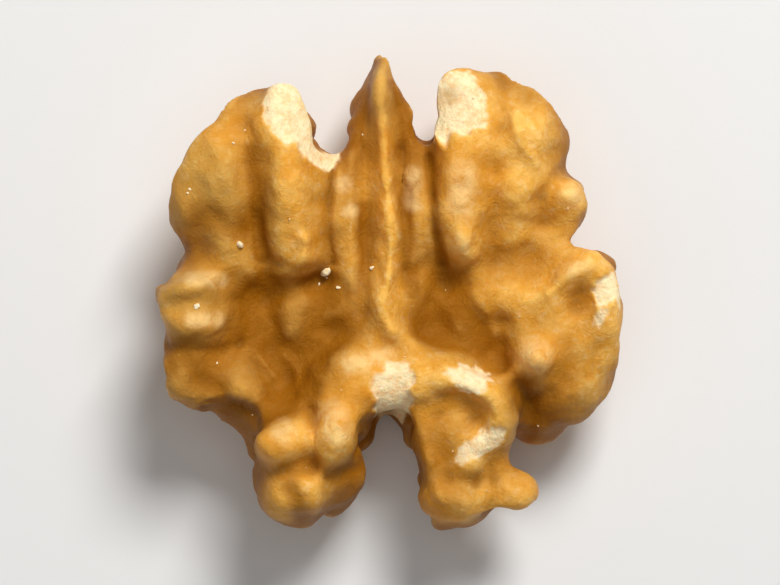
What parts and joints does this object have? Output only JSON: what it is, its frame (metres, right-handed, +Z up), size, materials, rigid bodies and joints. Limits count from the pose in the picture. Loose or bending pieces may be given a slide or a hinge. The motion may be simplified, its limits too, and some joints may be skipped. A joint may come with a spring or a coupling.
{
  "type": "walnut kernel",
  "caption": "Half of a shelled walnut kernel, winding folds on its rounded back and a ridged spine between four lobes on its inner face.",
  "frame": {"origin": "on the resting surface, under the middle of the kernel's box", "axes": "+Z up towards the inner face, +Y along the spine to its pointed tip, +X to the right seen from above"},
  "size_m": [0.0315, 0.0322, 0.0126],
  "materials": {
    "kernel_skin": "satin"
  },
  "bodies": {
    "root": {"walnut_kernel": "kernel_skin"}
  },
  "joints": []
}
